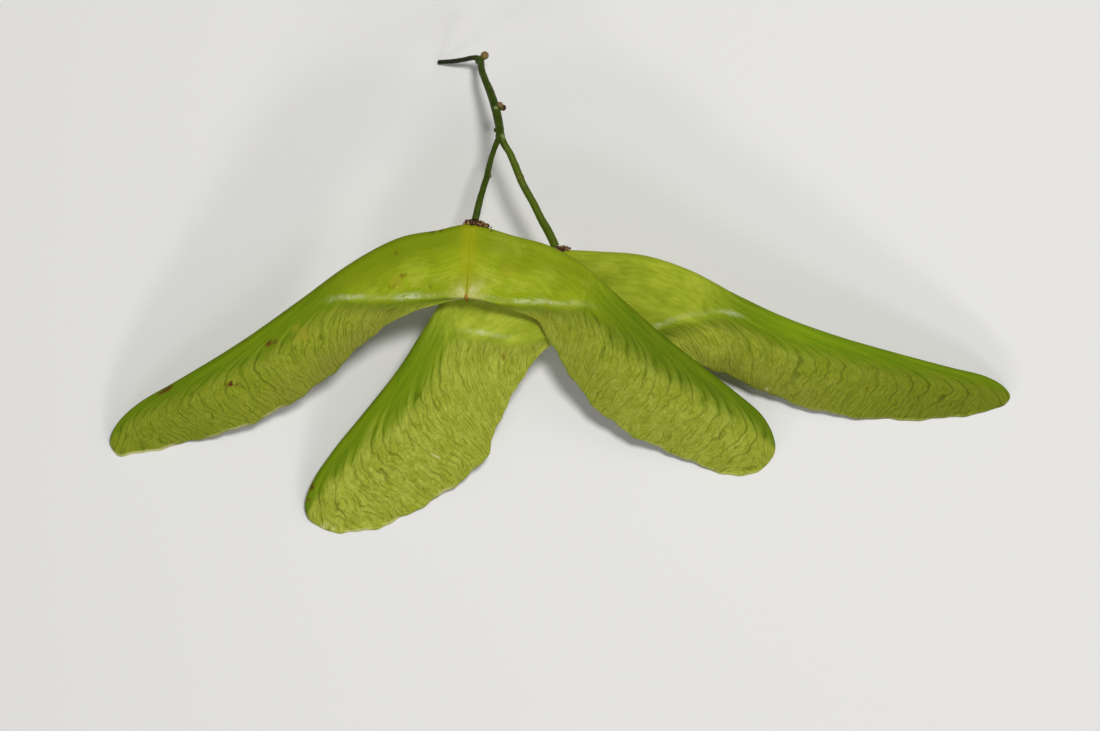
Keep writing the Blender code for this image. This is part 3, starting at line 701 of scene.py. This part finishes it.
def paintHalf(piece, half, spot, veins, zones, onCase, points, face):
    # what the material reads
    seed, onTop = half["seed"] * 10, face > 0.5
    s, t, x, y, out = spot.s, spot.t, spot.x, spot.y, spot.out
    stains = stainsOf(half, points, onTop, softNoise(x, y, 0.22, seed + 11))
    seamLine = bump(0, 0.07, out) * ease(0.62, 0.74, t) * (1 - ease(0.9, 0.97, t))
    rimLine = half["rim"] * ease(0.5, 0.25, spot.low) * ease(0.45, 0.62, s)
    rimLine = rimLine * ease(-0.6, 0.2, softNoise(x, y, 2.4, seed + 12))
    lowMargin = ease(0.50, 1.0, t) * ease(0.10, 0.2, s) * (1 - ease(0.35, 0.75, s))
    tint = half["brownish"] * lowMargin * (0.85 + 0.5 * softNoise(x, y, 2.6, seed + 13))
    # partly painted shade: darker near the thick edge, where it turns from the light, by each
    # half's share; then random darker mottle
    paintedShadeAndMottle = half["paintedShadeAndMottle"] * (1 - ease(0.8, 4.2, y))
    paintedShadeAndMottle = paintedShadeAndMottle + 0.25 * ease(0.1, 0.7, softNoise(out / 2.5, y, 1.0, seed + 14))
    # the strength of the crest's gloss and of its painted highlight along the half
    crest = np.interp(s, *zip(*half["crest"])) * (0.95 + 0.3 * softNoise(out, y, 0.8, seed + 19))
    fromMilk, toMilk = half["milk"]
    pale = 0.8 * rimLine + 0.8 * zones.fan * onCase + stains["fleck"]
    pale = pale + 0.7 * scratchOf(half, points, onTop)
    shares = {
        "vein": veins.main * (zones.veined + 0.4 * zones.faint),
        "net": (0.7 * veins.second + veins.cross) * zones.veined,
        "crest": crest, "tint": tint * zones.onBlade, "paintedShadeAndMottle": paintedShadeAndMottle,
        "glow": half["glow"] + stains["pool"], "pale": pale, "bruise": stains["bruise"],
        "mark": stains["mark"] + 0.25 * seamLine + 0.05 * bump(0, 0.05, out),
    }
    for name, values in shares.items():
        paint(piece, name, np.clip(values, 0, 1))
    paint(piece, "grain", np.stack([x, y, face * 7], axis=1))
    paint(piece, "blade", zones.onBlade)
    paint(piece, "nutlet", zones.nutlet)
    paint(piece, "ridge", np.clip(spot.fromShoulder * spot.wide, -3, 3))
    paint(piece, "milk", fromMilk + (toMilk - fromMilk) * ease(0.3, 0.75, s))
    paint(piece, "seam", 0.7 * bump(0, 1.1, out))
    paint(piece, "toneAndPaintedLight", toneAndPaintedLightOf(half, spot, zones, points, onTop))


def addHalf(pair, side, material):
    name = f"{pair}_{side}_half"
    half = halves[name]
    piece = addSlab(f"{pair}_{side}_winged_half", wing["columns"], wing["rows"])
    u, v, face = readPoints(piece).T
    spot = spotsOf(pair, side, u, v)
    veins = veinsOf(half, spot.x, spot.y, spot.run)
    thick, onCase, past = thicknessOf(spot.s, spot.t, spot.wide, half["shoulder"])
    zones = zonesOf(half, spot, veins, past)
    thick = np.maximum(thick + reliefOf(half, spot, veins, zones), wing["leastHalf"])
    points = spot.points + spot.normal * (thick * np.where(face > 0.5, 1, -1))[:, None]
    # nothing goes below the table
    below = points[:, 2] - 2 * thick * spot.normal[:, 2] * (face > 0.5)
    points[:, 2] += np.maximum(-below, 0)
    writePoints(piece, points)
    facesOut(piece)
    keepSeamCrisp(piece, u == 0)
    paintHalf(piece, half, spot, veins, zones, onCase, points, face)
    finish(piece, material, name)
    return piece


def finish(piece, material, node):
    piece.data.transform(Matrix.Scale(mm, 4))
    piece.data.materials.clear()
    piece.data.materials.append(material)
    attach(piece, "root")
    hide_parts(node)


wingMaterial = wingSkin()
for pair in seams:
    for side in ("left", "right"):
        made = addHalf(pair, side, wingMaterial)
        print(made.name, len(made.data.vertices), "points")


# The stalk

stalkHead, fork = (-8.8, 25.8, 4.9), (-6.5, 16.9, 12.6)

stalk = {
    "tubes": [      # each way with its radii
        ([stalkHead, (-8.6, 24.5, 6.4), (-8.2, 23.3, 7.6), (-7.7, 22.1, 8.7), (-7.0, 19.9, 10.6),
          (-6.6, 17.9, 12.0), fork], [0.42, 0.39, 0.40, 0.45, 0.50, 0.47, 0.48]),
        ([stalkHead, (-9.4, 26.0, 4.4), (-10.5, 25.9, 3.2), (-11.7, 25.8, 1.9),
          (-13.5, 25.8, 0.26)], [0.38, 0.31, 0.28, 0.27, 0.25]),
    ],
    "pedicels": {
        "front": ([fork, (-6.9, 16.1, 13.3), (-7.25, 15.1, 14.0), (-7.7, 13.4, 15.3),
                   (-7.9, 12.3, 16.1), (-8.3, 11.0, 16.8), (-8.75, 9.3, 17.6)],
                  [0.40, 0.34, 0.31, 0.32, 0.35, 0.35, 0.36, 0.38, 0.40]),
        "back": ([fork, (-6.0, 15.9, 12.8), (-5.5, 15.1, 12.9), (-4.8, 13.5, 13.1),
                  (-4.2, 12.0, 13.2), (-3.8, 11.2, 13.2), (-2.9, 9.6, 13.0), (-2.0, 7.8, 12.7),
                  (-1.3, 6.6, 12.4)],
                 [0.44, 0.40, 0.39, 0.40, 0.42, 0.42, 0.42, 0.43, 0.45, 0.47, 0.48]),
    },
    "balls": [      # the knob, the fork, the scars, and the low swellings at the joints
        ((-8.3, 26.2, 5.0), 0.47), (fork, 0.54), ((-6.55, 20.45, 10.3), 0.34),
        ((-6.22, 20.12, 10.4), 0.36), ((-6.95, 17.6, 12.2), 0.30), ((-7.72, 12.45, 16.05), 0.32),
        ((-4.35, 12.4, 13.3), 0.44), ((-8.9, 25.6, 5.1), 0.45),
    ],
    "grain": 0.055,
    "greens": [(0.026, 0.047, 0.001), (0.042, 0.070, 0.002)],
    "tones": {      # laid over the greens in this order
        # the dark olive tone is painted shade for the stub's far end
        "bright": (0.072, 0.108, 0.002), "dull": (0.016, 0.022, 0.007),
        # the pale tone is for painted highlights
        "tan": (0.190, 0.125, 0.042), "pale": (0.230, 0.290, 0.100),
        "brown": (0.045, 0.014, 0.008),
    },
    "tan": [        # place, reach, how hard its edge is, share
        ((-8.2, 26.3, 5.15), 0.62, 0.75, 1), ((-6.5, 20.5, 10.55), 0.40, 0.6, 0.85),
        ((-6.1, 20.2, 10.5), 0.5, 0.5, 0.85), ((-4.4, 12.4, 13.5), 0.42, 0.3, 0.6),
        ((-7.4, 12.5, 16.2), 0.4, 0.3, 0.5),
    ],
    "brown": [
        ((-6.0, 20.1, 10.55), 0.40, 0.6, 1), ((-7.2, 17.6, 12.3), 0.36, 0.3, 0.6),
        ((-3.7, 11.2, 13.5), 0.30, 0.3, 0.55),
    ],
    # the pale spots are painted highlights on the stalk
    "pale": [((-7.0, 20.1, 11.1), 0.34, 0.4, 0.8), ((-6.0, 16.9, 13.1), 0.5, 0.4, 0.64)],
    "roughness": (0.38, 0.52), "specular": 0.12, "bumpStrength": 0.4, "bumpHeight": 0.03,
}


def collarPlace(pair):
    # the seam's top, the directions up it, beside it and across it, and the halves' height there
    top = np.array(seams[pair]["top"])
    up = top - np.array(seams[pair]["foot"])
    up /= np.linalg.norm(up)
    beside = np.array([1.0, 0.0, 0.0]) - up * up[0]
    beside /= np.linalg.norm(beside)
    rim = np.vstack([edgesOf(pair, "left")[0][::-1], edgesOf(pair, "right")[0]]) - top
    near = np.abs(rim @ beside) < 4

    def edgeHeight(offset):
        return np.interp(offset, (rim @ beside)[near], (rim @ up)[near])

    return top, up, beside, np.cross(up, beside), edgeHeight


def addTube(name, places, radii):
    ends = [2 * np.array(places[0]) - places[1], 2 * np.array(places[-1]) - places[-2]]
    line = smoothLine(places, *ends, 10)
    thick = np.interp(np.linspace(0, 1, len(line)), np.linspace(0, 1, len(radii)), radii)
    bpy.ops.object.select_all(action="DESELECT")
    bpy.ops.curve.primitive_nurbs_path_add()
    tube = bpy.context.object
    tube.name = name
    tube.data.splines.clear()
    way = tube.data.splines.new("POLY")
    way.points.add(len(line) - 1)
    for point, place, radius in zip(way.points, line, thick):
        point.co = (*place, 1)
        point.radius = radius
    tube.data.bevel_depth = 1
    tube.data.bevel_resolution = 5
    tube.data.use_fill_caps = True
    bpy.ops.object.convert(target="MESH")
    return tube


def addBall(place, radius, squash=(1, 1, 1)):
    bpy.ops.object.select_all(action="DESELECT")
    bpy.ops.mesh.primitive_ico_sphere_add(subdivisions=3, radius=radius, location=place)
    ball = bpy.context.object
    ball.scale = squash
    bpy.ops.object.transform_apply(location=True, rotation=True, scale=True)
    return ball


def fuse(name, parts, grain, smooth):
    bpy.ops.object.select_all(action="DESELECT")
    for part in parts:
        part.select_set(True)
    whole = parts[0]
    bpy.context.view_layer.objects.active = whole
    bpy.ops.object.join()
    whole.name = whole.data.name = name
    remesh = whole.modifiers.new("fuse", "REMESH")
    remesh.mode = "VOXEL"
    remesh.voxel_size = grain
    bpy.ops.object.modifier_apply(modifier=remesh.name)
    soften = whole.modifiers.new("soften", "SMOOTH")
    soften.iterations = smooth
    bpy.ops.object.modifier_apply(modifier=soften.name)
    return whole


def hillsAt(points, size, seed):
    # smooth random hills in space, between about -1 and 1
    return (softNoise(points[:, 0] + 0.7 * points[:, 2], points[:, 1], size, seed)
            + softNoise(points[:, 1] - 0.6 * points[:, 0], points[:, 2], size, seed + 1)) / 2


def swellOut(piece, heights):
    normals = np.zeros(len(piece.data.vertices) * 3)
    piece.data.vertices.foreach_get("normal", normals)
    writePoints(piece, readPoints(piece) + normals.reshape(-1, 3) * heights[:, None])


def spread(points, places):
    # the share that each point has of the tones laid round the places
    shares = np.zeros(len(points))
    for place, radius, hard, share in places:
        away = np.linalg.norm(points - np.array(place), axis=1)
        shares = shares + share * (1 - ease(hard * radius, radius, away))
    return np.clip(shares, 0, 1)


def stalkSkin():
    material, tree, shader = newMaterial("green stalk skin")
    grain = attributeOf(tree, "grain", "Vector")
    blotch = noiseOf(tree, grain, 1.1, 4, 0.6)
    fine = noiseOf(tree, grain, 6, 3, 0.6)
    colour = mixColour(tree, rampOf(tree, blotch, 0.35, 0.65), *stalk["greens"])
    for name, tone in stalk["tones"].items():
        colour = mixColour(tree, attributeOf(tree, name), colour, tone)
    plug(tree, shader.inputs["Base Color"], colour)
    plug(tree, shader.inputs["Roughness"], rampOf(tree, fine, 0.3, 0.7, *stalk["roughness"]))
    shader.inputs["Specular IOR Level"].default_value = stalk["specular"]
    relief = bumpOf(tree, fine, stalk["bumpStrength"], stalk["bumpHeight"] * mm)
    plug(tree, shader.inputs["Normal"], relief)
    return material


def addStalk():
    parts = [addTube("stalk tube", places, radii) for places, radii in stalk["tubes"]]
    for pair, (places, radii) in stalk["pedicels"].items():
        top, up, beside, across, edgeHeight = collarPlace(pair)
        offset = seams[pair]["pedicel"]
        end = top + beside * offset + up * (edgeHeight(offset) + 0.50)
        parts.append(addTube(f"{pair} pedicel", [*places, end], radii))
    parts += [addBall(place, radius) for place, radius in stalk["balls"]]
    whole = fuse("forked_stalk", parts, stalk["grain"], 6)
    points = readPoints(whole)
    hills = 0.02 * hillsAt(points / (1, 2.5, 1), 0.35, 71) + 0.015 * hillsAt(points, 0.2, 75)
    swellOut(whole, hills)
    facesOut(whole)
    points = readPoints(whole)
    toBack = ease(-6.6, -5.6, points[:, 0]) * ease(17.2, 16.2, points[:, 1])
    # the stalk's tan and brown marks, and the pale painted highlights
    for name in ("tan", "brown", "pale"):
        paint(whole, name, spread(points, stalk[name]))
    paint(whole, "grain", points)
    paint(whole, "bright", 0.9 * toBack)
    # painted shade: darker towards the stub's cut end, where it falls away from the light
    paint(whole, "dull", ease(-9.0, -10.2, points[:, 0]) * ease(24, 25, points[:, 1]))
    finish(whole, stalkSkin(), "stalk")
    print(whole.name, len(whole.data.vertices), "points")


addStalk()


# The dry crusts left by the flower at the head of each pair, and the stumps of the styles

crust = {
    "front": {"seed": 5, "beads": 230, "trail": [(1.75, 0.05), (1.95, 0.0), (2.2, -0.05)]},
    "back": {"seed": 8, "beads": 170, "trail": []},
    "depth": 0.62, "thick": 0.42, "grain": 0.032, "beadRadius": (0.055, 0.14),
    "browns": [(0.036, 0.011, 0.005), (0.125, 0.052, 0.018), (0.340, 0.200, 0.080)],
    "roughness": 0.6, "specular": 0.15, "bumpStrength": 0.6, "bumpHeight": 0.03,
}

stump = {
    "lumps": 12, "radius": 0.23, "grain": 0.028, "seed": 31,
    "down": (-0.32, 0.50), "rise": (0.86, -0.50), "astray": 0.06,
    "oranges": [(0.075, 0.030, 0.004), (0.260, 0.130, 0.008), (0.480, 0.330, 0.045)],
}


def crustSkin(name, dark, middle, light):
    material, tree, shader = newMaterial(name)
    grain = attributeOf(tree, "grain", "Vector")
    fine = noiseOf(tree, grain, 7, 4, 0.65)
    tone = attributeOf(tree, "tone")
    tone = mathOf(tree, "ADD", tone, rampOf(tree, fine, 0.3, 0.7, -0.2, 0.2), clamp=True)
    colour = mixColour(tree, rampOf(tree, tone, 0.15, 0.55), dark, middle)
    colour = mixColour(tree, rampOf(tree, tone, 0.60, 0.95), colour, light)
    plug(tree, shader.inputs["Base Color"], colour)
    shader.inputs["Roughness"].default_value = crust["roughness"]
    shader.inputs["Specular IOR Level"].default_value = crust["specular"]
    relief = bumpOf(tree, fine, crust["bumpStrength"], crust["bumpHeight"] * mm)
    plug(tree, shader.inputs["Normal"], relief)
    return material


def beadTones(points, beads, tones):
    # each point takes the tone of the bead whose skin it lies nearest
    best, tone = np.full(len(points), 1e9), np.zeros(len(points))
    for (place, radius), value in zip(beads, tones):
        away = np.linalg.norm(points - place, axis=1) - radius
        tone = np.where(away < best, value, tone)
        best = np.minimum(best, away)
    return np.clip(tone + 1.2 * np.clip(best, -0.1, 0.1), 0, 1)


def addBeads(name, parts, beads, tones, grain, material, node):
    whole = fuse(name, parts, grain, 2)
    facesOut(whole)
    points = readPoints(whole)
    paint(whole, "grain", points)
    paint(whole, "tone", beadTones(points, beads, tones))
    finish(whole, material, node)
    print(whole.name, len(whole.data.vertices), "points")


def addCrust(pair, material):
    top, up, beside, across, edgeHeight = collarPlace(pair)
    centre, half = seams[pair]["collar"], seams[pair]["collarHalf"]
    random = np.random.default_rng(crust[pair]["seed"])
    beads, tones = [], []
    for number in range(crust[pair]["beads"]):
        turn = 2 * math.pi * random.random()
        out = math.sqrt(random.uniform(0.12, 1))
        offset = centre + half * out * math.cos(turn)
        rise = crust["thick"] * random.uniform(0.1, 1) * (1 - 0.45 * out**3)
        rise = edgeHeight(offset) + 0.06 + rise
        place = top + beside * offset + across * crust["depth"] * out * math.sin(turn) + up * rise
        beads.append((place, random.uniform(*crust["beadRadius"])))
        tones.append(random.random())
    for offset, lean in crust[pair]["trail"]:
        place = top + beside * offset + up * (edgeHeight(offset) + 0.10) + across * (0.3 + lean)
        beads.append((place, random.uniform(0.07, 0.11)))
        tones.append(random.uniform(0.1, 0.5))
    parts = [addBall(place, radius, tuple(random.uniform(0.8, 1.25, 3))) for place, radius in beads]
    core = addBall(top + beside * centre + up * (edgeHeight(centre) + 0.36), 0.2)
    addBeads(f"{pair}_crust", [core, *parts], beads, tones, crust["grain"], material,
             f"{pair}_calyx")


def addStump(pair, material):
    # the style's stump at the seam's foot, a few rough lumps
    foot = np.array(seams[pair]["foot"])
    down = foot - np.array(seams[pair]["top"])
    down /= np.linalg.norm(down)
    random = np.random.default_rng(stump["seed"] + crust[pair]["seed"])
    beads, tones = [], []
    for number in range(stump["lumps"]):
        share = number / (stump["lumps"] - 1)
        aside = random.normal(0, stump["astray"], 3)
        along = down * (stump["down"][1] * share + stump["down"][0])
        place = foot + along + (0, 0, stump["rise"][0] + stump["rise"][1] * share) + aside
        beads.append((place, stump["radius"] * (1 - 0.5 * share)))
        tones.append(0.75 - 0.5 * share + random.uniform(-0.15, 0.15))
    parts = [addBall(place, radius) for place, radius in beads]
    addBeads(f"{pair}_style_stump", parts, beads, tones, stump["grain"], material,
             f"{pair}_style")


crustMaterial = crustSkin("dry brown crust", *crust["browns"])
stumpMaterial = crustSkin("dry orange stump", *stump["oranges"])
for pair in seams:
    addCrust(pair, crustMaterial)
    addStump(pair, stumpMaterial)


# The camera, the table and the lights

view = {
    "place": (-1.1, -8.0, 480.0),      # straight above, where the picture was taken from
    "pixelsAcross": 1100, "focalPixels": 4305.6, "sensor": 36.0,
}

table = {"size": 4, "height": -0.00002, "colour": (0.72, 0.71, 0.69, 1), "roughness": 0.8}
studio = {"colour": (0.95, 0.97, 1.0, 1), "strength": 0.13}


def addCamera():
    data = bpy.data.cameras.new("camera")
    camera = bpy.data.objects.new("camera", data)
    bpy.context.scene.collection.objects.link(camera)
    camera.location = Vector(view["place"]) * mm
    data.sensor_width = view["sensor"]
    data.lens = view["focalPixels"] * view["sensor"] / view["pixelsAcross"]
    data.clip_start = 0.01
    bpy.context.scene.camera = camera


def addTable():
    bpy.ops.object.select_all(action="DESELECT")
    bpy.ops.mesh.primitive_plane_add(size=table["size"], location=(0, 0, table["height"]))
    plane = bpy.context.object
    plane.name = "table"
    material, tree, shader = newMaterial("pale table")
    shader.inputs["Base Color"].default_value = table["colour"]
    shader.inputs["Roughness"].default_value = table["roughness"]
    plane.data.materials.append(material)


lights = {          # place and aim in millimetres, width and height in millimetres, watts
    "axial": ((55, 95, 515), (0, -5, 6), (80, 66), 1.94),
    "left": ((-213, -297, 289), (0, -4, 8), (96, 52), 0.17),
    "right": ((171, -300, 314), (0, -4, 8), (104, 60), 0.24),
    "front": ((21, -398, 243), (0, -4, 8), (140, 52), 0.22),
    "fill": ((270, 110, 380), (0, 0, 5), (260, 260), 0.25),
}


def addLights():
    for name, (place, aim, size, watts) in lights.items():
        data = bpy.data.lights.new(name, "AREA")
        data.shape = "RECTANGLE"
        data.size, data.size_y = size[0] * mm, size[1] * mm
        data.energy = watts
        lamp = bpy.data.objects.new(name, data)
        bpy.context.scene.collection.objects.link(lamp)
        lamp.location = Vector(place) * mm
        lamp.rotation_euler = (Vector(aim) - Vector(place)).to_track_quat("-Z", "Y").to_euler()
    world = bpy.data.worlds.new("studio")
    world.use_nodes = True
    background = world.node_tree.nodes["Background"]
    background.inputs["Color"].default_value = studio["colour"]
    background.inputs["Strength"].default_value = studio["strength"]
    bpy.context.scene.world = world
    bpy.context.scene.view_settings.view_transform = "Standard"


addCamera()
addTable()
addLights()
print("camera, table and lights are set")
